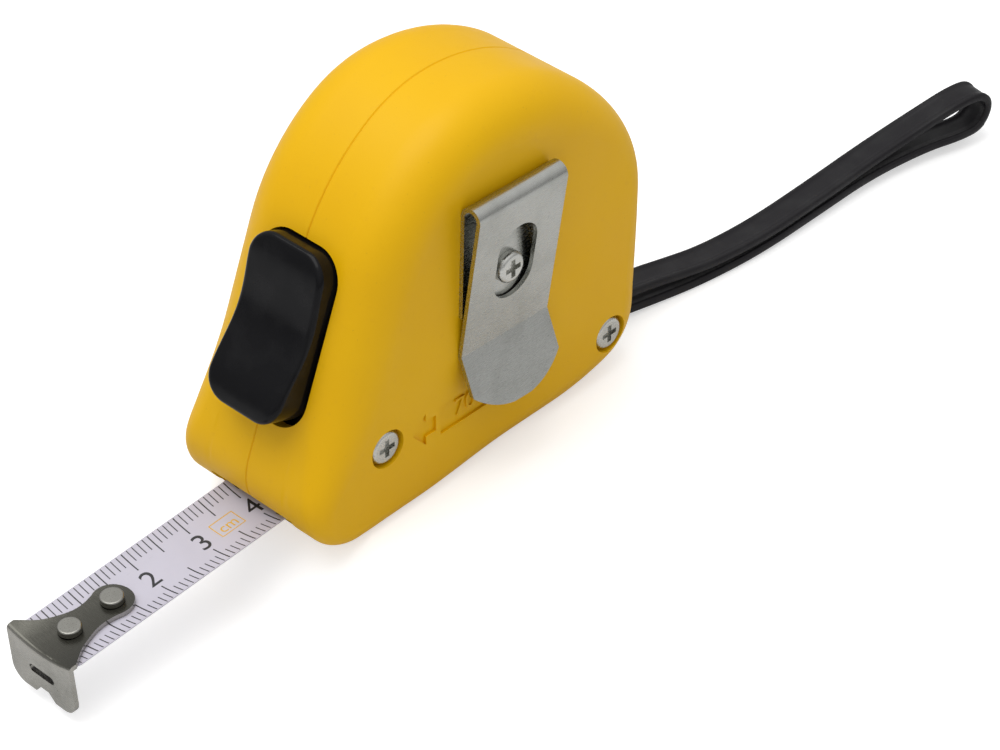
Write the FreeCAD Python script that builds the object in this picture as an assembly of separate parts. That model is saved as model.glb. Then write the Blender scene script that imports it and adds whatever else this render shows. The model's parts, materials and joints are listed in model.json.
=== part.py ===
import FreeCAD, Part
import math
import os
from FreeCAD import Vector as V

# Pocket tape measure, 3 m x 13 mm.  Millimetres.
# X runs forward along the blade, Y to the belt clip's side, Z up.
# The origin is on the base plane, in the middle plane of the case, under its foremost point.

os.makedirs("parts", exist_ok=True)

# ---------------------------------------------------------------- driving dimensions
CASE_HEIGHT = 61.0
HALF = 14.8                    # half of the case's thickness
WALL = 2.2
LEAN = 21.8                    # the front face leans back from the vertical, degrees
R_FRONT_FOOT = 8.6
R_FRONT_TOP = 32.0
R_TOP = 23.0
R_REAR_TOP = 33.0
R_REAR = 26.0
R_REAR_FOOT = 9.5
R_BELLY = 45.0
RIM_FRONT = 7.5                # rounding of the case's edge at the front and top
RIMS = [(0.0, 2.6), (0.03, 2.6), (0.16, RIM_FRONT), (0.45, RIM_FRONT), (0.60, 3.4), (0.72, 4.6),
        (0.85, 4.6), (0.95, 2.8), (1.0, 2.6)]     # and all along the outline: (share of it, radius)
SEAM = 0.18                    # depth of the seam's V groove

REEL_X, REEL_Z = -38.0, 34.5
REEL_R = 15.0
COIL_R = 20.8
FLANGE_R = 21.4
ARBOR_R = 3.5

LOCK_EDGE = 0.8                # rounding of the lock cap's edge

BLADE_W = 12.4
BLADE_T = 0.2
BLADE_CURVE = 20.0             # radius of the blade's hollow section
BLADE_DROP = 3.3               # the blade slopes down towards its hook, degrees
ZERO_X = 39.0                  # the hook's inner face, where the scale starts
ZERO_Z = 0.6                   # height of the middle of the blade there
BLADE_TAIL = -18.0

HOOK_T = 0.8
HOOK_PLAY = 0.8
RIVETS_AT = (5.1, 13.0)        # behind the scale's zero

SCREWS = {"front_screw": (-14.2, 14.2), "rear_screw": (-61.6, 8.4)}
BOSS_R = 3.0

CLIP_X, CLIP_W = -38.0, 18.0
CLIP_T = 0.7
CLIP_FOOT = 29.4               # lower end of the clip's rear leaf
CLIP_LEAN = 2.0                # the clip stands a little askew on its screw, degrees
STRAP_W = 5.2
STRAP_T = 1.4
STRAP_Y = 3.8                  # where the strap passes through the case's rear wall
STRAP_YAW = -6.2               # and its turn outward from there, degrees


# ---------------------------------------------------------------- helpers
def box(x0, x1, y0, y1, z0, z1):
    return Part.makeBox(x1 - x0, y1 - y0, z1 - z0, V(x0, y0, z0))


def rod(r, p0, p1):
    d = p1.sub(p0)
    return Part.makeCylinder(r, d.Length, p0, d)


def ring(outer, inner, p0, p1):
    return rod(outer, p0, p1).cut(rod(inner, p0, p1))


def prism_y(points, y0, y1):
    """A polygon of (x, z) points, extruded along Y."""
    loop = [V(x, y0, z) for x, z in points]
    return Part.Face(Part.makePolygon(loop + loop[:1])).extrude(V(0, y1 - y0, 0))


def mirrored(shape):
    return shape.mirror(V(0, 0, 0), V(0, 1, 0))


def save(name, shape):
    shape.exportStep("parts/" + name + ".step")
    box_ = shape.BoundBox
    print(name, "solids", len(shape.Solids), "volume", round(shape.Volume, 1), "valid", shape.isValid(),
          [round(v, 1) for v in (box_.XMin, box_.XMax, box_.YMin, box_.YMax, box_.ZMin, box_.ZMax)])


# ---------------------------------------------------------------- outline of the case
def outline_runs():
    """The side view as lines and arcs, anticlockwise in (x, z) seen from -Y: (kind, size, turn)."""
    lean = math.radians(LEAN)
    mid = math.radians(60)
    rise = R_FRONT_FOOT * (1 + math.sin(lean))
    rise += R_FRONT_TOP * (math.sin(mid) - math.sin(lean)) + R_TOP * (1 - math.sin(mid))
    front = (CASE_HEIGHT - rise) / math.cos(lean)
    fall = R_REAR_TOP * (1 - math.cos(math.radians(47.5))) + R_REAR * math.cos(math.radians(47.5))
    fall += R_REAR_FOOT * math.sin(math.radians(74)) + R_BELLY * (1 - math.sin(math.radians(74)))
    rear = CASE_HEIGHT - fall
    return [
        ("arc", R_FRONT_FOOT, 90 + LEAN),
        ("line", front, 0),
        ("arc", R_FRONT_TOP, 60 - LEAN),
        ("arc", R_TOP, 30),
        ("arc", R_REAR_TOP, 47.5),
        ("arc", R_REAR, 42.5),
        ("line", rear, 0),
        ("arc", R_REAR_FOOT, 74),
        ("arc", R_BELLY, 16),
    ]


def rim_at(share):
    """The rim's radius along the outline, eased between the values in RIMS."""
    for (a, low), (b, high) in zip(RIMS, RIMS[1:]):
        if share <= b:
            return low + (high - low) * (1 - math.cos(math.pi * (share - a) / (b - a))) / 2
    return RIMS[-1][1]


def outline(step=2.6):
    """Points of the side view with their outward normals and rim radii; the base closes it."""
    x, z, heading = -R_FRONT_FOOT, 0.0, 0.0
    path = []
    for kind, size, turn in outline_runs():
        length = size if kind == "line" else size * math.radians(turn)
        count = max(2, round(length / step))
        for i in range(count):
            h = math.radians(heading + turn * i / count)
            if kind == "line":
                px, pz = x + size * i / count * math.cos(h), z + size * i / count * math.sin(h)
            else:
                a = math.radians(heading)
                px = x + size * (math.sin(h) - math.sin(a))
                pz = z + size * (math.cos(a) - math.cos(h))
            path.append((px, pz, math.sin(h), -math.cos(h)))
        a, b = math.radians(heading), math.radians(heading + turn)
        if kind == "line":
            x, z = x + size * math.cos(a), z + size * math.sin(a)
        else:
            x, z = x + size * (math.sin(b) - math.sin(a)), z + size * (math.cos(a) - math.cos(b))
        heading += turn
    count = round((-R_FRONT_FOOT - x) / step)
    path += [(x + (-R_FRONT_FOOT - x) * i / count, 0.0, 0.0, -1.0) for i in range(count)]
    along = [0.0]
    for a, b in zip(path, path[1:]):
        along.append(along[-1] + math.hypot(b[0] - a[0], b[1] - a[1]))
    total = along[-1] + step
    return [(*p, rim_at(d / total)) for p, d in zip(path, along)]


OUTLINE = outline()


def loop_at(y, inset_of):
    """A closed smooth wire at height y over the middle plane, set in by inset_of(rim radius)."""
    points = [V(x - nx * inset_of(r), y, z - nz * inset_of(r)) for x, z, nx, nz, r in OUTLINE]
    curve = Part.BSplineCurve()
    curve.interpolate(Points=points, PeriodicFlag=True)
    return Part.Wire(curve.toShape())


def outer_half():
    """The solid half of the case on +Y, with its rounded rim and half of the seam's groove."""
    start = HALF - RIM_FRONT

    def rim(y):
        def inset(r):
            over = max(0.0, y - (HALF - r))
            return r - math.sqrt(max(0.0, r * r - over * over)) - 0.03
        return loop_at(y, inset)
    levels = [HALF - RIM_FRONT * (1 - math.sin(math.radians(a))) for a in (0, 9, 18, 27, 36, 45, 54, 63, 72, 81, 90)]
    edge = Part.makeLoft([rim(y) for y in levels], True, False)
    middle = Part.Face(loop_at(SEAM, lambda r: -0.03)).extrude(V(0, start - SEAM, 0))
    groove = Part.makeLoft([loop_at(0.0, lambda r: SEAM - 0.03), loop_at(SEAM, lambda r: -0.03)], True, True)
    solid = groove.fuse([middle, edge]).removeSplitter()
    return solid.common(box(-100, 20, -1, 30, 0, 100)).Solids[0]


def inner_half(gap=0.0):
    """The hollow inside, on +Y."""
    face = Part.Face(loop_at(-0.5, lambda r: WALL + gap))
    solid = face.extrude(V(0, HALF - WALL - gap + 0.5, 0))
    edges = [e for e in solid.Edges if e.BoundBox.YMin > 5]
    return solid.makeFillet(5.2 - gap, edges)


# ---------------------------------------------------------------- the front face, along which the lock slides
FACE = V(-7.1, 0, 28.0)
UP = V(-math.sin(math.radians(LEAN)), 0, math.cos(math.radians(LEAN)))
OUT = V(math.cos(math.radians(LEAN)), 0, math.sin(math.radians(LEAN)))


def face_point(s, n, y=0.0):
    return FACE + UP * s + OUT * n + V(0, y, 0)


def face_slab(s0, s1, half_width, n0, n1, corner):
    """A rounded rectangle on the front face, standing along its normal."""
    w, c = half_width, corner
    k = c * (1 - math.sqrt(0.5))
    at = lambda s, y: face_point(s, n0, y)
    edges = [
        Part.makeLine(at(s0, -w + c), at(s0, w - c)),
        Part.Arc(at(s0, w - c), at(s0 + k, w - k), at(s0 + c, w)).toShape(),
        Part.makeLine(at(s0 + c, w), at(s1 - c, w)),
        Part.Arc(at(s1 - c, w), at(s1 - k, w - k), at(s1, w - c)).toShape(),
        Part.makeLine(at(s1, w - c), at(s1, -w + c)),
        Part.Arc(at(s1, -w + c), at(s1 - k, -w + k), at(s1 - c, -w)).toShape(),
        Part.makeLine(at(s1 - c, -w), at(s0 + c, -w)),
        Part.Arc(at(s0 + c, -w), at(s0 + k, -w + k), at(s0, -w + c)).toShape(),
    ]
    return Part.Face(Part.Wire(edges)).extrude(OUT * (n1 - n0))


# ---------------------------------------------------------------- blade frame
TILT = math.radians(BLADE_DROP)
ALONG = V(math.cos(TILT), 0, -math.sin(TILT))
ZERO = V(ZERO_X, 0, ZERO_Z)


def on_blade(shape):
    """Moves a shape made about the scale's zero, flat along X, onto the sloping blade."""
    moved = shape.copy()
    moved.rotate(V(0, 0, 0), V(0, 1, 0), BLADE_DROP)
    moved.translate(ZERO)
    return moved


def trough(x0, x1, low, high, half_width):
    """A length of hollow strip along X: low and high are its faces' heights in the middle."""
    top = V(0, 0, BLADE_CURVE)
    shell = ring(BLADE_CURVE - low, BLADE_CURVE - high, top + V(x0, 0, 0), top + V(x1, 0, 0))
    return shell.common(box(x0 - 1, x1 + 1, -half_width, half_width, -5, 5))


# ---------------------------------------------------------------- case halves
def screw_boss(x, z, y0, y1):
    return rod(BOSS_R, V(x, y0, z), V(x, y1, z))


def half_shell():
    """What both halves share, on +Y: shell, mouth, lock opening and slides, strap and arbor walls."""
    outer, hollow = outer_half(), inner_half()
    shell = outer.cut(hollow)
    anvil = box(-13.5, -4.2, 0, 5.2, 1.2, 2.55).common(outer)
    guide = face_slab(-7.0, 6.0, 30, -6.0, -4.75, 1.0).common(box(-60, 20, 8.0, HALF - 1, 5, 60))
    shell = shell.fuse(anvil).fuse(guide)
    shell = shell.cut(face_slab(-10.2, 17.6, 7.85, -9, 9, 5.0).common(box(-30, 20, 0, 8, 5, 60)))
    mouth = box(-45, 6, 0, 8.4, 1.6, 4.75)
    mouth.rotate(V(0, 0, 0), V(0, 1, 0), BLADE_DROP)
    mouth.translate(V(0, 0, ZERO_Z * 0.75))
    shell = shell.cut(mouth.common(box(-12, 6, -1, 9, 0, 20)).common(box(-12, 6, 0, 8.4, 2.1, 5.25)))
    return shell, outer


def arrow_mark():
    """The moulded arrow that points to the mouth."""
    tip, neck, tail, z = -19.3, -21.9, -24.0, 13.3
    return prism_y([(tip, z), (neck, z + 2.9), (neck, z + 1.4), (tail, z + 1.4),
                    (tail, z - 1.4), (neck, z - 1.4), (neck, z - 2.9)], HALF - 0.45, HALF + 1)


def make_case():
    shell, outer = half_shell()
    right = shell
    left = mirrored(shell)
    for x, z in SCREWS.values():
        right = right.fuse(screw_boss(x, z, 0.0, HALF - 1.0).common(outer))
        left = left.fuse(mirrored(screw_boss(x, z, 0.0, HALF - 1.0)).common(mirrored(outer)))
    for x, z in SCREWS.values():
        right = right.cut(rod(3.15, V(x, HALF - 1.5, z), V(x, HALF + 2, z)))
        right = right.cut(rod(1.6, V(x, -1, z), V(x, HALF, z)))
        left = left.cut(rod(1.28, V(x, -10.5, z), V(x, 1, z)))
    strap_door = box(-72, -62, STRAP_Y - 3.1, STRAP_Y + 3.1, 3.0, 9.3)
    right = right.cut(strap_door)
    socket = ring(5.6, ARBOR_R + 0.05, V(REEL_X, -HALF + 1.4, REEL_Z), V(REEL_X, -9.6, REEL_Z))
    left = left.fuse(socket)
    left = left.cut(rod(ARBOR_R + 0.05, V(REEL_X, -HALF + 1.4, REEL_Z), V(REEL_X, -9, REEL_Z)))
    collar = rod(6.2, V(REEL_X, 9.6, REEL_Z), V(REEL_X, HALF - 1.0, REEL_Z))
    right = right.fuse(collar)
    right = right.cut(rod(ARBOR_R + 0.05, V(REEL_X, 5, REEL_Z), V(REEL_X, 11.9, REEL_Z)))
    right = right.cut(rod(1.6, V(REEL_X, 5, REEL_Z), V(REEL_X, HALF + 2, REEL_Z)))
    label = box(-46.0, -24.9, HALF - 0.4, HALF + 1, 10.6, 15.8)
    right = right.cut(label).cut(arrow_mark())
    return left, right


# ---------------------------------------------------------------- lock
def reel_sector(outer, inner, a0, a1, half_width):
    """A piece of a ring about the reel's axis, between two angles from +X towards +Z."""
    whole = ring(outer, inner, V(REEL_X, -half_width, REEL_Z), V(REEL_X, half_width, REEL_Z))
    far = outer * 1.5
    rays = [(REEL_X + far * math.cos(math.radians(a)), REEL_Z + far * math.sin(math.radians(a)))
            for a in (a0, (a0 + a1) / 2, a1)]
    return whole.common(prism_y([(REEL_X, REEL_Z)] + rays, -half_width - 1, half_width + 1))


def make_lock():
    """The lock: a rocker-shaped cap in the front opening, its carrier and an arm to the reel."""
    top, low = 17.2, -9.0
    rise = [(top, 2.85), (14.5, 3.2), (12.0, 3.1), (9.0, 2.75), (6.0, 2.6), (3.0, 2.95), (0.0, 3.8),
            (-3.0, 4.75), (-6.0, 5.35), (-7.8, 5.4), (low, 5.2)]
    curve = Part.BSplineCurve()
    curve.interpolate([face_point(s, n, -12) for s, n in rise])
    ends = [face_point(low, -8, -12), face_point(top, -8, -12)]
    wire = Part.Wire([curve.toShape(), Part.makeLine(face_point(*rise[-1], -12), ends[0]),
                      Part.makeLine(ends[0], ends[1]), Part.makeLine(ends[1], face_point(*rise[0], -12))])
    side = Part.Face(wire).extrude(V(0, 24, 0))
    cap = face_slab(low, top, 7.3, -4.4, 9, 4.2).common(side)
    rim = [e for e in cap.Edges if min((v.Point - FACE).dot(OUT) for v in e.Vertexes) > 2]
    cap = cap.makeFillet(LOCK_EDGE, rim)
    carrier = face_slab(-12.4, 18.8, 8.7, -4.4, -3.4, 2.0)
    arm = reel_sector(FLANGE_R + 2.15, FLANGE_R + 0.95, -46.0, -24.0, 4.0)
    web = box(-20.5, -8.9, -4.0, 4.0, 19.7, 21.3)
    web = web.cut(rod(FLANGE_R + 1.5, V(REEL_X, -5, REEL_Z), V(REEL_X, 5, REEL_Z)))
    return cap.fuse(carrier).fuse(arm).fuse(web)


def make_brake_shoe():
    """The rubber pad that the lock's arm holds on the rims of the reel."""
    return reel_sector(FLANGE_R + 0.93, FLANGE_R + 0.06, -44.0, -28.0, 7.9)


def make_lock_spring():
    """The flat leaf behind the carrier whose friction holds the lock where it is put."""
    return face_slab(-0.5, 4.5, 9.8, -4.72, -4.44, 1.0)


# ---------------------------------------------------------------- blade, hook and rivets
def make_blade():
    back = BLADE_TAIL - ZERO_X
    strip = trough(back, -0.5, -BLADE_T / 2, BLADE_T / 2, BLADE_W / 2)
    corner = 1.2
    for side in (1, -1):
        w = BLADE_W / 2
        tip = [V(-0.5 - corner, side * w, -4), V(1, side * (w + 1), -4), V(0.5, side * (w - corner), -4)]
        strip = strip.cut(Part.Face(Part.makePolygon(tip + tip[:1])).extrude(V(0, 0, 8)))
    for d in RIVETS_AT:
        strip = strip.cut(rod(1.1, V(-d, 0, -3), V(-d, 0, 3)))
    return on_blade(strip)


def make_rivet(d):
    lift = BLADE_T / 2 + 0.06 + HOOK_T + 0.06
    sag = 1.8 ** 2 / (2 * BLADE_CURVE) + 0.02
    head = rod(1.78, V(-d, 0, lift + sag), V(-d, 0, lift + sag + 0.95))
    head = head.makeFillet(0.25, [e for e in head.Edges if e.BoundBox.ZMin > lift + sag + 0.9 and e.Closed])
    shank = rod(1.07, V(-d, 0, -0.4), V(-d, 0, lift + sag + 0.1))
    tail = rod(1.6, V(-d, 0, -0.62), V(-d, 0, -BLADE_T / 2 - 0.02))
    return on_blade(head.fuse(shank).fuse(tail))


def leaf_outline():
    """Plan of the hook's leaf: full width at the bend, a waist, and a round end about the rear rivet."""
    half, lobe, rear = 6.6, 3.2, RIVETS_AT[1]
    join = V(-rear + lobe * 0.42, lobe * math.sqrt(1 - 0.42 ** 2), -5)
    pts = [(-0.6, half), (-1.5, 5.9), (-3.3, 4.5), (-5.6, 3.4), (-8.6, 2.55), (-10.2, 2.6)]
    far, near = [V(x, y, -5) for x, y in pts] + [join], []
    near = [V(p.x, -p.y, -5) for p in reversed(far)]
    edge, low = Part.BSplineCurve(), Part.BSplineCurve()
    edge.interpolate(far)
    low.interpolate(near)
    cap = Part.Arc(join, V(-rear - lobe, 0, -5), near[0]).toShape()
    front = [far[0], V(HOOK_T, half, -5), V(HOOK_T, -half, -5), near[-1]]
    lines = [Part.makeLine(a, b) for a, b in zip(front, front[1:])]
    wire = Part.Wire([edge.toShape(), cap, low.toShape()] + lines[::-1])
    return Part.Face(wire).extrude(V(0, 0, 12))


def make_hook():
    low = BLADE_T / 2 + 0.06
    leaf = trough(-19, HOOK_T, low, low + HOOK_T, 6.6).common(leaf_outline())
    drop, half, r = 7.6, 6.6, 2.6
    k = r * (1 - math.sqrt(0.5))
    p = lambda y, z: V(0, y, z)
    edges = [
        Part.makeLine(p(-half, 3), p(-half, -drop + r)),
        Part.Arc(p(-half, -drop + r), p(-half + k, -drop + k), p(-half + r, -drop)).toShape(),
        Part.makeLine(p(-half + r, -drop), p(-1.9, -drop)),
        Part.makeLine(p(-1.9, -drop), p(-0.9, -drop + 1.4)),
        Part.makeLine(p(-0.9, -drop + 1.4), p(0.9, -drop + 1.4)),
        Part.makeLine(p(0.9, -drop + 1.4), p(2.2, -drop)),
        Part.makeLine(p(2.2, -drop), p(half - r, -drop)),
        Part.Arc(p(half - r, -drop), p(half - k, -drop + k), p(half, -drop + r)).toShape(),
        Part.makeLine(p(half, -drop + r), p(half, 3)),
        Part.makeLine(p(half, 3), p(-half, 3)),
    ]
    plate = Part.Face(Part.Wire(edges)).extrude(V(HOOK_T, 0, 0))
    plate = plate.cut(rod(BLADE_CURVE - low - HOOK_T, V(-1, 0, BLADE_CURVE), V(3, 0, BLADE_CURVE)))
    slot = box(-1, 2, -1.9, 1.9, -3.9, -2.5)
    slot = slot.fuse(rod(0.7, V(-1, -1.9, -3.2), V(2, -1.9, -3.2))).fuse(rod(0.7, V(-1, 1.9, -3.2), V(2, 1.9, -3.2)))
    hook = leaf.fuse(plate.cut(slot)).removeSplitter()
    bend = [e for e in hook.Edges if e.BoundBox.XMin > HOOK_T - 0.01 and e.BoundBox.YLength > 12
            and e.BoundBox.ZMax > 1.5 and e.BoundBox.ZMin > 0.5]
    hook = hook.makeFillet(0.65, bend)
    for d in RIVETS_AT:
        a, b = V(-d - HOOK_PLAY / 2, 0, -4), V(-d + HOOK_PLAY / 2, 0, -4)
        hook = hook.cut(rod(1.13, a, a + V(0, 0, 9))).cut(rod(1.13, b, b + V(0, 0, 9)))
        hook = hook.cut(box(a.x, b.x, -1.13, 1.13, -4, 5))
    return on_blade(hook)


# ---------------------------------------------------------------- reel
def spiral_strip(r0, turns, pitch, thick, y0, y1):
    """A flat spiral strip about the reel's axis, outwards from +X, of half-turn arcs."""
    def side(offset):
        arcs = []
        for i in range(2 * turns):
            up = 1 if i % 2 == 0 else -1
            centre = V(REEL_X + (0 if i % 2 == 0 else pitch / 2), y0, REEL_Z)
            r = r0 + pitch / 2 * i + offset
            arcs.append(Part.Arc(centre + V(up * r, 0, 0), centre + V(0, 0, up * r), centre - V(up * r, 0, 0)))
        return [a.toShape() for a in arcs], arcs[0].StartPoint, arcs[-1].EndPoint
    inner, inner_start, inner_end = side(-thick / 2)
    outer, outer_start, outer_end = side(thick / 2)
    ends = [Part.makeLine(inner_end, outer_end), Part.makeLine(outer_start, inner_start)]
    wire = Part.Wire(Part.sortEdges(inner + outer + ends)[0])
    return Part.Face(wire).extrude(V(0, y1 - y0, 0))


def make_reel():
    """An open cup: hub wall, a flange on the left, and a bearing hole for the arbor."""
    axis = lambda y: V(REEL_X, y, REEL_Z)
    cup = ring(REEL_R, REEL_R - 1.5, axis(-8.2), axis(6.8))
    flange = ring(FLANGE_R, ARBOR_R + 0.08, axis(-8.2), axis(-7.0))
    return cup.fuse(flange)


def make_reel_cover():
    axis = lambda y: V(REEL_X, y, REEL_Z)
    disc = ring(FLANGE_R, ARBOR_R + 0.08, axis(6.85), axis(8.0))
    lip = ring(REEL_R - 1.55, REEL_R - 2.6, axis(5.6), axis(6.9))
    return disc.fuse(lip)


def make_arbor():
    axis = lambda y: V(REEL_X, y, REEL_Z)
    post = rod(ARBOR_R, axis(-HALF + 1.42), axis(11.85))
    post = post.cut(rod(1.28, axis(5.6), axis(13)))
    return post.cut(box(REEL_X - 0.25, REEL_X + 5, -5.4, 5.4, REEL_Z - 0.3, REEL_Z + 0.3))


def make_spring():
    strip = spiral_strip(4.3, 8, (REEL_R - 2.0 - 4.3) / 8, 0.3, -5.0, 5.0)
    tab = box(REEL_X + 0.3, REEL_X + 4.3, -5.0, 5.0, REEL_Z - 0.15, REEL_Z + 0.15)
    return strip.fuse(tab)


# ---------------------------------------------------------------- screws
def pan_screw(x, z, y_seat, head_r, head_h, shank_r, length):
    """A cross-recess screw whose head faces +Y."""
    head = rod(head_r, V(x, y_seat, z), V(x, y_seat + head_h, z))
    head = head.makeFillet(head_h * 0.55, [e for e in head.Edges if e.BoundBox.YMin > y_seat + head_h - 0.01 and e.Closed])
    body = head.fuse(rod(shank_r, V(x, y_seat - length, z), V(x, y_seat + 0.1, z)))
    deep = y_seat + head_h - 0.75
    for w, h in ((0.42, 1.5), (1.5, 0.42)):
        body = body.cut(box(x - w, x + w, deep, deep + 3, z - h, z + h))
    return body


# ---------------------------------------------------------------- belt clip
def make_clip():
    """One formed strip: rear leaf on the case, a fold at the top, a sprung front leaf and a flared lip."""
    t, x0, x1 = CLIP_T, CLIP_X - CLIP_W / 2, CLIP_X + CLIP_W / 2
    back, top, crease, foot = HALF + 0.02, 47.0, 22.6, 13.2
    front, press = back + 3.75, HALF + 0.06
    turn = (front - back) / 2
    p = lambda y, z: V(x0, y, z)
    lines = [(back + t, CLIP_FOOT), (back, CLIP_FOOT), (back, top)]
    down = [(front, top), (press + t, crease), (18.95 + t, foot), (18.95, foot - 0.3), (press, crease - 0.1),
            (front - t, top)]
    edges = [Part.makeLine(p(*a), p(*b)) for a, b in zip(lines, lines[1:])]
    edges.append(Part.Arc(p(back, top), p(back + turn, top + turn), p(front, top)).toShape())
    edges += [Part.makeLine(p(*a), p(*b)) for a, b in zip(down, down[1:])]
    edges.append(Part.Arc(p(front - t, top), p(back + turn, top + turn - t), p(back + t, top)).toShape())
    edges.append(Part.makeLine(p(back + t, top), p(back + t, CLIP_FOOT)))
    strip = Part.Face(Part.Wire(edges)).extrude(V(CLIP_W, 0, 0))
    tip = box(x0 - 1, x1 + 1, 15.3, 30, 8, 18)
    tip = tip.cut(rod(13.3, V(CLIP_X, 0, foot + 13.2), V(CLIP_X, 30, foot + 13.2)))
    hole = box(CLIP_X - 4, CLIP_X + 4, back + t + 0.04, 30, 33.6, 38.6)
    for z in (33.6, 38.6):
        hole = hole.fuse(rod(4.0, V(CLIP_X, back + t + 0.04, z), V(CLIP_X, 30, z)))
    clip = strip.cut(tip).cut(rod(1.7, V(CLIP_X, 0, REEL_Z), V(CLIP_X, back + 1.1, REEL_Z))).cut(hole)
    clip.rotate(V(CLIP_X, 0, REEL_Z), V(0, 1, 0), -CLIP_LEAN)
    return clip


# ---------------------------------------------------------------- wrist strap
STRAP_ROUTE = [(-71.6, 4.85), (-78.5, 4.6), (-85.0, 3.8), (-92.4, 3.15), (-103.6, 3.3), (-117.1, 3.75),
               (-128.8, 4.45), (-136.6, 5.7), (-142.9, 7.6), (-148.2, 9.2), (-152.4, 8.9), (-154.0, 6.1),
               (-152.0, 3.2), (-147.7, 2.74), (-139.5, 2.42), (-126.9, 1.99), (-113.3, 1.55),
               (-99.7, 1.07), (-89.0, 0.78), (-80.5, 1.0), (-71.6, 1.9)]


def rounded_route(points):
    """Straight runs joined by tangent arcs in the XZ plane; prints the arcs' radii."""
    pts = [V(x, 0, z) for x, z in points]
    edges, radii, last = [], [], pts[0]
    for a, b, c in zip(pts, pts[1:], pts[2:]):
        u, v = (a - b).normalize(), (c - b).normalize()
        reach = 0.45 * min((a - b).Length, (c - b).Length)
        half = (math.pi - u.getAngle(v)) / 2
        radius = reach / math.tan(half)
        p, q = b + u * reach, b + v * reach
        mid = (u + v).normalize()
        middle = b + mid * (radius / math.cos(half) - radius)
        edges += [Part.makeLine(last, p), Part.Arc(p, middle, q).toShape()]
        radii.append(round(radius, 1))
        last = q
    edges.append(Part.makeLine(last, pts[-1]))
    print("strap radii", radii)
    return Part.Wire(edges)


def yawed(shape):
    """Turns a strap piece about the vertical at the strap's door."""
    turned = shape.copy()
    turned.rotate(V(-69.0, STRAP_Y, 0), V(0, 0, 1), STRAP_YAW)
    return turned


def make_strap():
    route = rounded_route(STRAP_ROUTE)
    band = Part.Face(route.makeOffset2D(STRAP_T / 2, 0, False, False))
    band.translate(V(0, STRAP_Y - STRAP_W / 2, 0))
    band = band.extrude(V(0, STRAP_W, 0)).cut(box(-71.6, -60, 0, 20, 0, 20))
    print("strap volume", round(band.Volume, 1), "section x length", round(STRAP_W * STRAP_T * route.Length, 1))
    return yawed(band)


def make_strap_anchor():
    """The strap's solid root: a tab through the case's rear wall and an eye on the rear screw's boss."""
    y0, y1 = STRAP_Y - STRAP_W / 2, STRAP_Y + STRAP_W / 2
    x, z = SCREWS["rear_screw"]
    tab = prism_y([(-71.6, 1.2), (-71.6, 5.55), (-68.6, 7.2), (-66.6, 7.6), (-66.6, 4.0), (-69.0, 3.3)], y0, y1)
    link = prism_y([(-67.5, 5.0), (-67.5, 7.4), (x - 1, 12.2), (x - 1, 5.2)], y0 + 0.2, y1 - 0.2)
    eye = rod(4.1, V(x, y0 + 0.2, z), V(x, y1 - 0.2, z))
    return yawed(tab.fuse(link).fuse(eye)).cut(rod(BOSS_R + 0.06, V(x, 0, z), V(x, 15, z)))


left, right = make_case()
save("case_left", left)
save("case_right", right)
save("lock_button", make_lock())
save("brake_shoe", make_brake_shoe())
save("lock_spring", make_lock_spring())
save("blade", make_blade())
save("end_hook", make_hook())
save("hook_rivet_front", make_rivet(RIVETS_AT[0]))
save("hook_rivet_rear", make_rivet(RIVETS_AT[1]))
save("reel", make_reel())
save("reel_cover", make_reel_cover())
save("blade_coil", spiral_strip(REEL_R + 0.35, 11, (COIL_R - REEL_R - 0.8) / 11, 0.3, -6.2, 6.2))
save("arbor", make_arbor())
save("return_spring", make_spring())
for name, (x, z) in SCREWS.items():
    save(name, pan_screw(x, z, HALF - 1.48, 2.75, 1.3, 1.25, 17.5))
save("clip_screw", pan_screw(REEL_X, REEL_Z, HALF + CLIP_T + 0.04, 2.5, 1.3, 1.25, 9.2))
save("belt_clip", make_clip())
save("wrist_strap", make_strap())
save("strap_anchor", make_strap_anchor())
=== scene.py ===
import json
import math

import bmesh
import bpy
from mathutils import Matrix, Vector


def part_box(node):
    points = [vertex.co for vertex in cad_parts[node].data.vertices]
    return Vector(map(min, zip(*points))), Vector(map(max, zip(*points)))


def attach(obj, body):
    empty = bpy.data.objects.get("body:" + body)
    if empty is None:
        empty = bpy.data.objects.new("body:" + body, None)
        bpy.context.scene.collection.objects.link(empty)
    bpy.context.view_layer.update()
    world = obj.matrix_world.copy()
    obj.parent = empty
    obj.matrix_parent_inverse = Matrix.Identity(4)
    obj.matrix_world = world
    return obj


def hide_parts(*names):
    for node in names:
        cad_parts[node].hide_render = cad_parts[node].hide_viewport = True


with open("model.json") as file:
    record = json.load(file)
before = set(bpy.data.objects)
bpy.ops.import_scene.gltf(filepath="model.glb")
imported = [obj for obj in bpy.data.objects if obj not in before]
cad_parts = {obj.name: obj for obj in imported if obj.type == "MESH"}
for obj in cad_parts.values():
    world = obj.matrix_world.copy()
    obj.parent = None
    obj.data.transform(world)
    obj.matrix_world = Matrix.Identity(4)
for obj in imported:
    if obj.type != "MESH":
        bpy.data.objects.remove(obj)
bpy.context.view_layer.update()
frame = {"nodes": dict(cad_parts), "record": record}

# A pocket tape measure: finishes for the CAD's nodes, and what the CAD leaves to Blender, which is
# the strap's beads, the print on the blade and the raised figure in the panel.  All in metres.
MM = 0.001

# the blade's own frame, as in the CAD
ZERO = Vector((39.0, 0.0, 0.6)) * MM        # the scale's zero, under the hook's inner face
BLADE_DROP = math.radians(3.3)
BLADE_WIDTH = 12.4 * MM
BLADE_THICK = 0.2 * MM
BLADE_CURVE = 20.0 * MM                     # radius of the hollow, in the middle of the thickness
BLADE_LENGTH = 57.0 * MM                    # how much of it carries marks

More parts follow.
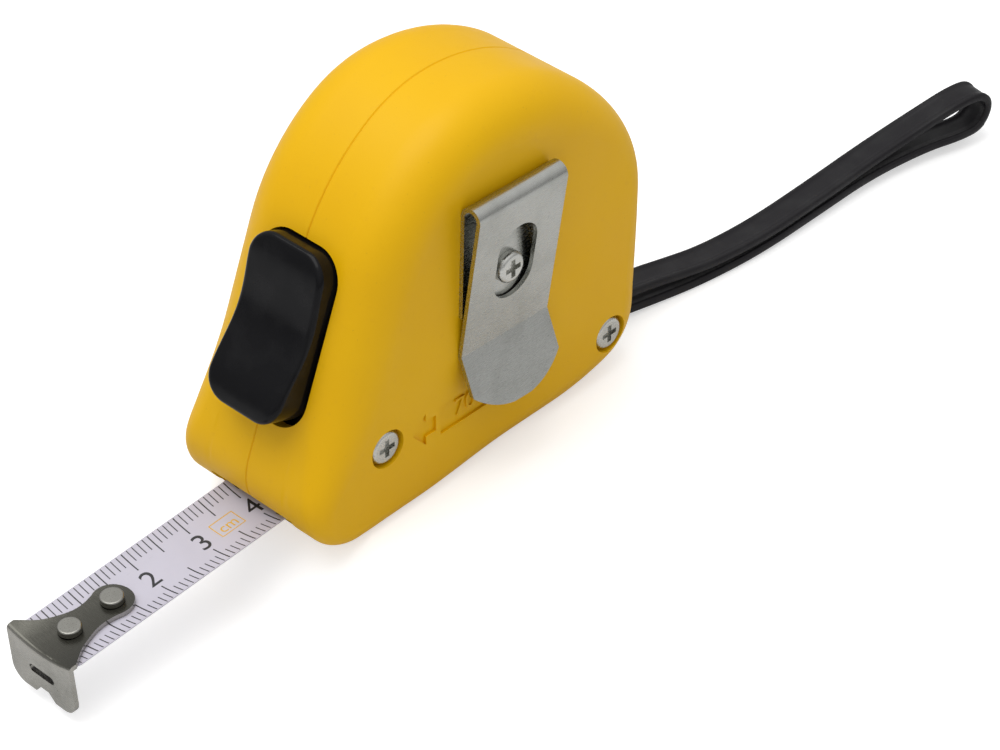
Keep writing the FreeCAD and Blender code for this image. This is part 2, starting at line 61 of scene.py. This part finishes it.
# the print on the blade
INK_LIFT = 0.014 * MM                       # the ink's upper face, over the lacquer
INK_SINK = -0.010 * MM                      # its lower face, inside the lacquer
INK_STEP = 0.9 * MM                         # how finely a strip of ink follows the hollow
MARK_EDGE = 0.06 * MM                       # bare lacquer between a mark and the blade's edge
LONG_MARK = (3.7 * MM, 0.20 * MM)           # reach from the edge and width, at every fifth one
SHORT_MARK = (2.2 * MM, 0.16 * MM)
FIGURES = 5
FIGURE_SIZE = 4.9 * MM
FIGURE_SIDE = 0.25 * MM                     # the figures sit a little to the near side
UNIT_SIZE = 2.7 * MM
UNIT_AT = -35 * MM
UNIT_BOX = (-37.2 * MM, -32.8 * MM)         # the ends of the outlined box round the unit
UNIT_HALF = 1.55 * MM                       # half its breadth
UNIT_LINE = 0.16 * MM
TEXT_STEPS = 6                              # points for each curve of a letter

# the raised figure in the panel on the case's side
PANEL_FIGURE_X = -30.2 * MM
PANEL_Z = 13.2 * MM
PANEL_FIGURE_SIZE = 4.4 * MM
PANEL_FIGURE_THICK = 0.3 * MM
PANEL_FIGURE_SINK = 0.28 * MM               # its middle, behind the case's side

# the wrist strap: its route out of the case, round the loop and back, in the middle of its
# thickness, in millimetres
STRAP_ROUTE = [
    (-71.6, 4.1, 4.85), (-78.5, 5.3, 4.6), (-85, 6.5, 3.8), (-92.4, 7.95, 3.16),
    (-103.6, 9.22, 3.29), (-117.1, 9.46, 3.75), (-128.8, 9.64, 4.44), (-136.6, 10.57, 5.61),
    (-142.4, 12.03, 7.3), (-147.7, 13.59, 8.98), (-152.1, 14.5, 9), (-153.8, 14.8, 6.3),
    (-151.8, 14.7, 3), (-147.7, 14.09, 2.7), (-141.4, 11.8, 2.49), (-128.8, 9.64, 2.05),
    (-115.2, 9.45, 1.61), (-101.6, 9.11, 1.14), (-90.5, 7.54, 0.8), (-81.5, 5.8, 1),
    (-71.6, 4.1, 1.9)]
STRAP_WIDTH = 5.2 * MM
STRAP_THICK = 1.4 * MM
STRAP_STEPS = 12                            # points of the smooth line for each of the route's
STRAP_BEAD = 0.75 * MM                      # width of the bead along each edge
STRAP_WEB = 0.14 * MM                       # how far the web lies below the beads
STRAP_SPAN = 6                              # points each way that its level direction is taken over
STRAP_FOLD = 2.5 * MM                       # a level run shorter than this is the fold's


# ---------------------------------------------------------------- materials
def new_node(tree, kind, **settings):
    """A shader node with its properties, or its inputs' values, by name with _ for a space."""
    node = tree.nodes.new("ShaderNode" + kind)
    for key, value in settings.items():
        if hasattr(node, key):
            setattr(node, key, value)
        else:
            node.inputs[key.replace("_", " ")].default_value = value
    return node


class Finish:
    """A principled material whose colour, roughness and bump come from procedural textures."""

    NOISE_LOW, NOISE_HIGH = 0.25, 0.75      # noise seldom leaves this range
    STEEP, LEVEL = 0.45, 0.85               # the normal's Z where a face starts and ends to look up

    def __init__(self, name, colour, roughness, metallic=0.0, gloss=0.5):
        self.material = bpy.data.materials.new(name)
        self.material.use_nodes = True
        self.tree = self.material.node_tree
        self.shader = self.tree.nodes["Principled BSDF"]
        self.shader.inputs["Base Color"].default_value = (*colour, 1)
        self.shader.inputs["Roughness"].default_value = roughness
        self.shader.inputs["Metallic"].default_value = metallic
        self.shader.inputs["Specular IOR Level"].default_value = gloss
        self.place = self.add("TexCoord").outputs["Object"]
        self.normal = None

    def add(self, kind, **settings):
        return new_node(self.tree, kind, **settings)

    def link(self, source, target):
        self.tree.links.new(source, target)

    def stretched(self, grain):
        """Object coordinates squeezed along some axes, for brushed grain."""
        node = self.add("Mapping", Scale=grain)
        self.link(self.place, node.inputs["Vector"])
        return node.outputs["Vector"]

    def noise(self, size, detail, grain=None):
        """Cloudy noise whose features are about size metres across, from 0 to 1."""
        place = self.stretched(grain) if grain else self.place
        node = self.add("TexNoise", Scale=1.0 / size, Detail=detail)
        self.link(place, node.inputs["Vector"])
        return node.outputs["Fac"]

    def ramp(self, value, low, high, start=0.0, end=1.0):
        """Maps value from low..high to start..end, held outside."""
        node = self.add("MapRange", clamp=True, From_Min=low, From_Max=high,
                        To_Min=start, To_Max=end)
        self.link(value, node.inputs["Value"])
        return node.outputs["Result"]

    def facing_up(self):
        """1 on faces that look up, 0 on upright ones."""
        split = self.add("SeparateXYZ")
        self.link(self.add("NewGeometry").outputs["Normal"], split.inputs[0])
        return self.ramp(split.outputs["Z"], self.STEEP, self.LEVEL)

    def tint(self, share, colour):
        """Mixes colour over the base colour where share is 1."""
        node = self.add("Mix", data_type="RGBA")
        self.link(share, node.inputs["Factor"])
        base = self.shader.inputs["Base Color"]
        if base.is_linked:
            self.link(base.links[0].from_socket, node.inputs["A"])
        else:
            node.inputs["A"].default_value = base.default_value
        node.inputs["B"].default_value = (*colour, 1)
        self.link(node.outputs["Result"], base)

    def mottle(self, size, detail, low, high, most, colour, grain=None):
        """Clouds of colour: none where the noise is under low, and most of it over high."""
        self.tint(self.ramp(self.noise(size, detail, grain), low, high, 0.0, most), colour)

    def rough(self, share, low, high):
        roughness = self.ramp(share, self.NOISE_LOW, self.NOISE_HIGH, low, high)
        self.link(roughness, self.shader.inputs["Roughness"])

    def bump(self, height, depth):
        """Adds relief of depth metres."""
        node = self.add("Bump", Distance=depth, Strength=1.0)
        self.link(height, node.inputs["Height"])
        if self.normal:
            self.link(self.normal, node.inputs["Normal"])
        self.normal = node.outputs["Normal"]
        self.link(self.normal, self.shader.inputs["Normal"])


def case_plastic():
    f = Finish("case_yellow", (0.80, 0.455, 0.002), roughness=0.44, gloss=0.18)
    f.mottle(24 * MM, 3, low=0.35, high=0.75, most=0.55, colour=(0.75, 0.40, 0.002))
    f.mottle(1.3 * MM, 4, low=0.62, high=0.80, most=0.25, colour=(0.70, 0.36, 0.012))
    f.mottle(0.35 * MM, 2, low=0.72, high=0.78, most=0.35, colour=(0.42, 0.22, 0.02))
    f.rough(f.noise(9 * MM, 5), low=0.38, high=0.52)
    f.bump(f.noise(0.22 * MM, 3), depth=0.010 * MM)
    f.bump(f.noise(2.6 * MM, 2), depth=0.02 * MM)
    return f.material


def lock_plastic():
    f = Finish("lock_black", (0.004, 0.004, 0.005), roughness=0.16, gloss=0.16)
    f.mottle(6 * MM, 4, low=0.5, high=0.8, most=0.6, colour=(0.014, 0.014, 0.015))
    f.rough(f.noise(3.5 * MM, 5), low=0.13, high=0.27)
    f.bump(f.noise(2.2 * MM, 1), depth=0.01 * MM)
    f.bump(f.noise(0.12 * MM, 2, grain=(1, 0.08, 1)), depth=0.001 * MM)
    return f.material


def blade_lacquer():
    f = Finish("blade_lacquer", (0.56, 0.54, 0.62), roughness=0.33, gloss=0.35)
    f.mottle(7 * MM, 4, low=0.4, high=0.75, most=0.4, colour=(0.50, 0.48, 0.55))
    f.mottle(0.3 * MM, 3, low=0.68, high=0.8, most=0.3, colour=(0.30, 0.29, 0.30),
             grain=(0.06, 1, 1))
    f.rough(f.noise(2.5 * MM, 4), low=0.28, high=0.42)
    f.bump(f.noise(1.5 * MM, 2), depth=0.006 * MM)
    return f.material


def plated_steel(name, colour, dark, grain, low, high, painted_top_shade=None):
    """Nickel or zinc on pressed steel, brushed along the axis whose stretch is small.

    low and high are its roughness.  Where it faces up it may be darkened with painted shade, which
    stands in for a dimmer reflection."""
    speck = tuple(c * 0.45 for c in dark)
    f = Finish(name, colour, roughness=0.3, metallic=1.0)
    streaks = f.noise(0.25 * MM, 4, grain)
    f.mottle(5 * MM, 5, low=0.42, high=0.72, most=0.7, colour=dark)
    f.mottle(0.5 * MM, 3, low=0.66, high=0.76, most=0.5, colour=speck)
    if painted_top_shade:
        # painted shade: faces that look up are darkened, in place of a dimmer reflection
        f.tint(f.facing_up(), painted_top_shade)
    f.rough(streaks, low, high)
    f.bump(streaks, depth=0.003 * MM)
    f.bump(f.noise(1.8 * MM, 3), depth=0.012 * MM)
    return f.material


def moulded(name, colour, worn, low, high):
    """Plain inner plastic or rubber, with its roughness from low to high."""
    f = Finish(name, colour, roughness=0.5)
    f.mottle(4 * MM, 4, low=0.45, high=0.75, most=0.6, colour=worn)
    f.rough(f.noise(2 * MM, 4), low, high)
    f.bump(f.noise(0.3 * MM, 3), depth=0.01 * MM)
    return f.material


def strap_rubber():
    f = Finish("strap_black", (0.009, 0.008, 0.010), roughness=0.42, gloss=0.22)
    f.mottle(5 * MM, 4, low=0.45, high=0.75, most=0.7, colour=(0.020, 0.020, 0.021))
    f.mottle(0.25 * MM, 2, low=0.72, high=0.8, most=0.35, colour=(0.10, 0.10, 0.09))
    f.rough(f.noise(3 * MM, 5), low=0.34, high=0.52)
    f.bump(f.noise(0.35 * MM, 3, grain=(0.3, 1, 1)), depth=0.012 * MM)
    return f.material


def ink(name, colour):
    worn = tuple(min(1, c * 1.8 + 0.05) for c in colour)
    f = Finish(name, colour, roughness=0.38)
    f.mottle(0.3 * MM, 3, low=0.6, high=0.75, most=0.5, colour=worn)
    f.rough(f.noise(1 * MM, 2), low=0.32, high=0.46)
    return f.material


finishes = {
    "case": case_plastic(),
    "lock": lock_plastic(),
    "brake": moulded("brake_rubber", (0.012, 0.012, 0.012), worn=(0.03, 0.028, 0.026),
                     low=0.6, high=0.8),
    "blade": blade_lacquer(),
    # the hook's faces that look up are darkened with painted shade
    "hook": plated_steel("hook_nickel", (0.38, 0.37, 0.34), dark=(0.24, 0.235, 0.21),
                         grain=(1, 0.12, 1), low=0.20, high=0.34, painted_top_shade=(0.10, 0.098, 0.085)),
    "rivet": plated_steel("rivet_nickel", (0.30, 0.295, 0.27), dark=(0.20, 0.195, 0.17),
                          grain=(1, 1, 1), low=0.24, high=0.38),
    "clip": plated_steel("clip_zinc", (0.47, 0.475, 0.45), dark=(0.37, 0.375, 0.35),
                         grain=(0.1, 1, 1), low=0.20, high=0.34),
    "screw": plated_steel("screw_zinc", (0.60, 0.60, 0.57), dark=(0.42, 0.42, 0.39),
                          grain=(1, 1, 1), low=0.22, high=0.34),
    "reel": moulded("reel_plastic", (0.02, 0.02, 0.022), worn=(0.035, 0.035, 0.036),
                    low=0.45, high=0.6),
    "arbor": moulded("arbor_plastic", (0.60, 0.60, 0.57), worn=(0.50, 0.50, 0.46),
                     low=0.4, high=0.55),
    "spring_steel": plated_steel("spring_blued", (0.16, 0.18, 0.23), dark=(0.10, 0.11, 0.14),
                                 grain=(1, 0.1, 1), low=0.25, high=0.4),
    "strap": strap_rubber(),
}
for part in frame["record"]["subparts"]:
    data = frame["nodes"][part["node"]].data
    data.materials.clear()
    data.materials.append(finishes[part["material_slot"]])
black_ink = ink("ink_black", (0.02, 0.02, 0.022))
orange_ink = ink("ink_orange", (0.72, 0.42, 0.03))


# ---------------------------------------------------------------- mesh helpers
def curve_mesh(name, curve):
    """The mesh that a curve or a text makes.  The curve itself leaves the scene."""
    holder = bpy.data.objects.new(name, curve)
    bpy.context.scene.collection.objects.link(holder)
    mesh = bpy.data.meshes.new_from_object(holder)
    bpy.data.objects.remove(holder)
    return mesh


def as_piece(name, mesh, finish, body):
    mesh.materials.clear()
    mesh.materials.append(finish)
    piece = bpy.data.objects.new(name, mesh)
    bpy.context.scene.collection.objects.link(piece)
    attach(piece, body)
    return piece


def add_mesh(name, verts, faces, finish, body, smooth=True):
    mesh = bpy.data.meshes.new(name)
    mesh.from_pydata([tuple(v) for v in verts], [], faces)
    mesh.update()
    bm = bmesh.new()
    bm.from_mesh(mesh)
    bmesh.ops.recalc_face_normals(bm, faces=bm.faces)
    bm.to_mesh(mesh)
    bm.free()
    for face in mesh.polygons:
        face.use_smooth = smooth
    return as_piece(name, mesh, finish, body)


# ---------------------------------------------------------------- wrist strap
def strap_line():
    """The route's smooth curve, as points from the case out to the loop and back."""
    curve = bpy.data.curves.new("strap_line", "CURVE")
    curve.dimensions = "3D"
    spline = curve.splines.new("NURBS")
    spline.points.add(len(STRAP_ROUTE) - 1)
    for point, at in zip(spline.points, STRAP_ROUTE):
        point.co = (*(Vector(at) * MM), 1.0)
    spline.order_u = 3
    spline.use_endpoint_u = True
    spline.resolution_u = STRAP_STEPS
    return [v.co.copy() for v in curve_mesh("strap_line", curve).vertices]


def run(line, i, span):
    """The line's run from span points before point i to span points after it."""
    return line[min(i + span, len(line) - 1)] - line[max(i - span, 0)]


def sideways(ahead):
    """The level direction across the strap, towards +Y."""
    across = Vector((-ahead.y, ahead.x, 0.0)).normalized()
    return across if across.y > 0 else -across


def strap_section():
    """The band's outline (across, up): a thin web with a raised bead along each edge."""
    w, t = STRAP_WIDTH / 2, STRAP_THICK / 2
    web = t - STRAP_WEB
    half = [(w * 0.35, web * 0.97), (w - STRAP_BEAD - 0.12 * MM, web), (w - STRAP_BEAD, t),
            (w - 0.28 * MM, t), (w - 0.08 * MM, t * 0.72), (w, 0.0)]
    upper = [(-a, b) for a, b in reversed(half)] + [(0.0, web * 0.96)] + half
    return upper + [(a, -b) for a, b in reversed(upper[1:-1])]


def make_strap():
    line = strap_line()
    section = strap_section()
    n = len(section)
    verts, faces = [], []
    side = sideways(run(line, 0, STRAP_SPAN))
    for i, at in enumerate(line):
        level = run(line, i, STRAP_SPAN).xy
        if level.length > STRAP_FOLD:
            side = sideways(level)
        up = side.cross(run(line, i, 1).normalized()).normalized()
        verts += [at + side * a + up * b for a, b in section]
    for i in range(len(line) - 1):
        for k in range(n):
            a, b = i * n + k, i * n + (k + 1) % n
            faces.append((a, b, b + n, a + n))
    faces.append(tuple(range(n)))
    faces.append(tuple(range(len(verts) - n, len(verts))))
    strap = add_mesh("strap_band", verts, faces, finishes["strap"], "case")
    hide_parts("wrist_strap")
    tuple(line[0])
    [tuple(p) for p in line]


# ---------------------------------------------------------------- print on the blade
def on_blade(x, y, lift):
    """A point x ahead of the scale's zero and y across, lift above the hollow's upper face."""
    face = BLADE_CURVE - BLADE_THICK / 2
    radius, angle = face - lift, y / face
    local = Vector((x, radius * math.sin(angle), BLADE_CURVE - radius * math.cos(angle)))
    return Matrix.Rotation(BLADE_DROP, 3, "Y") @ local + ZERO


def inked_patch(verts, faces, corners_x, y0, y1):
    """A thin raised strip of ink between two x lines, from y0 to y1 across the blade."""
    steps = max(1, round(abs(y1 - y0) / INK_STEP))
    base = len(verts)
    for i in range(steps + 1):
        y = y0 + (y1 - y0) * i / steps
        for x in corners_x:
            verts.append(on_blade(x, y, INK_LIFT))
            verts.append(on_blade(x, y, INK_SINK))
    for i in range(steps):
        a, b = base + 4 * i, base + 4 * i + 4
        faces += [(a, a + 2, b + 2, b), (a + 1, b + 1, b + 3, a + 3), (a, b, b + 1, a + 1),
                  (a + 2, a + 3, b + 3, b + 2)]
    end = base + 4 * steps
    faces += [(base, base + 1, base + 3, base + 2), (end, end + 2, end + 3, end + 1)]


def make_scale():
    """Millimetre marks along both edges, longer at every fifth."""
    verts, faces = [], []
    edge = BLADE_WIDTH / 2 - MARK_EDGE
    for mm in range(1, int(BLADE_LENGTH / MM)):
        reach, wide = LONG_MARK if mm % 5 == 0 else SHORT_MARK
        ends = (-mm * MM - wide / 2, -mm * MM + wide / 2)
        for side in (1, -1):
            inked_patch(verts, faces, ends, side * (edge - reach), side * edge)
    add_mesh("scale_marks", verts, faces, black_ink, "blade", smooth=False)


def make_unit_frame():
    """The thin outlined box round the unit, between two figures."""
    verts, faces = [], []
    for x in UNIT_BOX:
        ends = (x - UNIT_LINE / 2, x + UNIT_LINE / 2)
        inked_patch(verts, faces, ends, -UNIT_HALF, UNIT_HALF)
    for y in (-UNIT_HALF, UNIT_HALF):
        inked_patch(verts, faces, UNIT_BOX, y - UNIT_LINE / 2, y + UNIT_LINE / 2)
    add_mesh("unit_frame", verts, faces, orange_ink, "blade", smooth=False)


def text_piece(name, text, size, depth, place, finish, body):
    """Figures whose points, flat in XY and depth thick, are put in place by place(point)."""
    curve = bpy.data.curves.new(name, "FONT")
    curve.body = text
    curve.size = size
    curve.align_x = "CENTER"
    curve.align_y = "CENTER"
    curve.extrude = depth / 2
    curve.resolution_u = TEXT_STEPS
    mesh = curve_mesh(name, curve)
    for v in mesh.vertices:
        v.co = place(v.co)
    as_piece(name, mesh, finish, body)


def printed_text(name, text, size, at, finish):
    """Figures lying on the blade, reading from the hook towards the case."""
    lift = (INK_LIFT + INK_SINK) / 2

    def place(p):
        return on_blade(at - p.x, FIGURE_SIDE - p.y, p.z + lift)
    text_piece(name, text, size, INK_LIFT - INK_SINK, place, finish, "blade")


def moulded_figure():
    """The case's length, raised on the floor of the panel in its side."""
    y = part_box("case_right")[1].y - PANEL_FIGURE_SINK

    def place(p):
        return Vector((PANEL_FIGURE_X - p.x, y + p.z, PANEL_Z + p.y))
    text_piece("panel_figure", "70", PANEL_FIGURE_SIZE, PANEL_FIGURE_THICK, place,
               finishes["case"], "case")


# ---------------------------------------------------------------- studio
HORIZON = 0.31                              # the room's brightness at eye level
ZENITH = 0.85                               # and overhead
ROOM_TOP = 0.75                             # how high up, of 1, it is as bright as overhead
FLOOR_GLOW = 0.5        # seen by the camera only: keeps the floor white in soft shadow
FLOOR_REACH = 3.0                           # the floor's edge
FLOOR_MID = 0.4                             # the level part near the object
DIP_TOP = -12.0 * MM                        # where the floor starts to dip under the hook
DIP_FOOT = 7.0 * MM                         # and where it is level again
DIP_DEPTH = 8.6 * MM
DIP_STEPS = 24
KEY_PLACE = (0.10, -0.10, 0.70)
KEY_AIM = (-0.03, 0.0, 0.02)
KEY_SIDE = 0.6
KEY_POWER = 2.8
CAMERA_PLACE = (0.2538, 0.2915, 0.3322)
CAMERA_BEARING = math.radians(43.54)
CAMERA_HEIGHT = math.radians(38.35)
CAMERA_LENS = 126.0
CAMERA_SENSOR = 36.0
CAMERA_NEAR = 0.01


def make_stage():
    """A pale floor that dips in front of the case, so that the hook hangs clear of it."""
    slope = [DIP_TOP + (DIP_FOOT - DIP_TOP) * i / DIP_STEPS for i in range(DIP_STEPS + 1)]
    xs = [-FLOOR_REACH, -FLOOR_MID, *slope, FLOOR_MID, FLOOR_REACH]
    verts = []
    for x in xs:
        t = min(1.0, max(0.0, (x - DIP_TOP) / (DIP_FOOT - DIP_TOP)))
        z = -DIP_DEPTH * t * t * (3 - 2 * t)
        verts += [(x, -FLOOR_REACH, z), (x, FLOOR_REACH, z)]
    faces = [(a, a + 2, a + 3, a + 1) for a in range(0, 2 * len(xs) - 2, 2)]
    mesh = bpy.data.meshes.new("floor")
    mesh.from_pydata(verts, [], faces)
    for face in mesh.polygons:
        face.use_smooth = True
    f = Finish("floor_white", (0.72, 0.72, 0.72), roughness=0.9, gloss=0.0)
    f.shader.inputs["Emission Color"].default_value = (1, 1, 1, 1)
    seen = f.ramp(f.add("LightPath").outputs["Is Camera Ray"], 0.0, 1.0, 0.0, FLOOR_GLOW)
    f.link(seen, f.shader.inputs["Emission Strength"])
    mesh.materials.append(f.material)
    floor = bpy.data.objects.new("floor", mesh)
    bpy.context.scene.collection.objects.link(floor)


def make_room():
    """A pale room, darker towards the horizon."""
    world = bpy.data.worlds.new("studio")
    world.use_nodes = True
    tree = world.node_tree
    around = new_node(tree, "TexCoord").outputs["Generated"]
    split = new_node(tree, "SeparateXYZ")
    height = new_node(tree, "MapRange", From_Min=0.0, From_Max=ROOM_TOP,
                      To_Min=HORIZON, To_Max=ZENITH)
    background = tree.nodes["Background"]
    background.inputs["Color"].default_value = (1, 1, 1, 1)
    tree.links.new(around, split.inputs[0])
    tree.links.new(split.outputs["Z"], height.inputs["Value"])
    tree.links.new(height.outputs["Result"], background.inputs["Strength"])
    bpy.context.scene.world = world


def make_lamp():
    """One large soft lamp overhead."""
    light = bpy.data.lights.new("key", "AREA")
    light.shape = "RECTANGLE"
    light.size = light.size_y = KEY_SIDE
    light.energy = KEY_POWER
    lamp = bpy.data.objects.new("key", light)
    lamp.location = KEY_PLACE
    aim = Vector(KEY_AIM) - Vector(KEY_PLACE)
    lamp.rotation_euler = aim.to_track_quat("-Z", "Y").to_euler()
    bpy.context.scene.collection.objects.link(lamp)


def make_camera():
    camera = bpy.data.cameras.new("camera")
    camera.lens = CAMERA_LENS
    camera.sensor_width = CAMERA_SENSOR
    camera.clip_start = CAMERA_NEAR
    level = math.cos(CAMERA_HEIGHT)
    view = -Vector((level * math.cos(CAMERA_BEARING), level * math.sin(CAMERA_BEARING),
                    math.sin(CAMERA_HEIGHT)))
    right = view.cross(Vector((0, 0, 1))).normalized()
    turn = Matrix((right, right.cross(view), -view)).transposed().to_4x4()
    holder = bpy.data.objects.new("camera", camera)
    holder.matrix_world = Matrix.Translation(CAMERA_PLACE) @ turn
    bpy.context.scene.collection.objects.link(holder)
    bpy.context.scene.camera = holder


bpy.context.scene.view_settings.view_transform = "Standard"
make_camera()
make_room()
make_lamp()
make_stage()
make_strap()
make_scale()
make_unit_frame()
for centimetre in range(1, FIGURES + 1):
    printed_text(f"figure_{centimetre}", str(centimetre), FIGURE_SIZE, -centimetre * 10 * MM,
                 black_ink)
printed_text("unit_text", "cm", UNIT_SIZE, UNIT_AT, orange_ink)
moulded_figure()
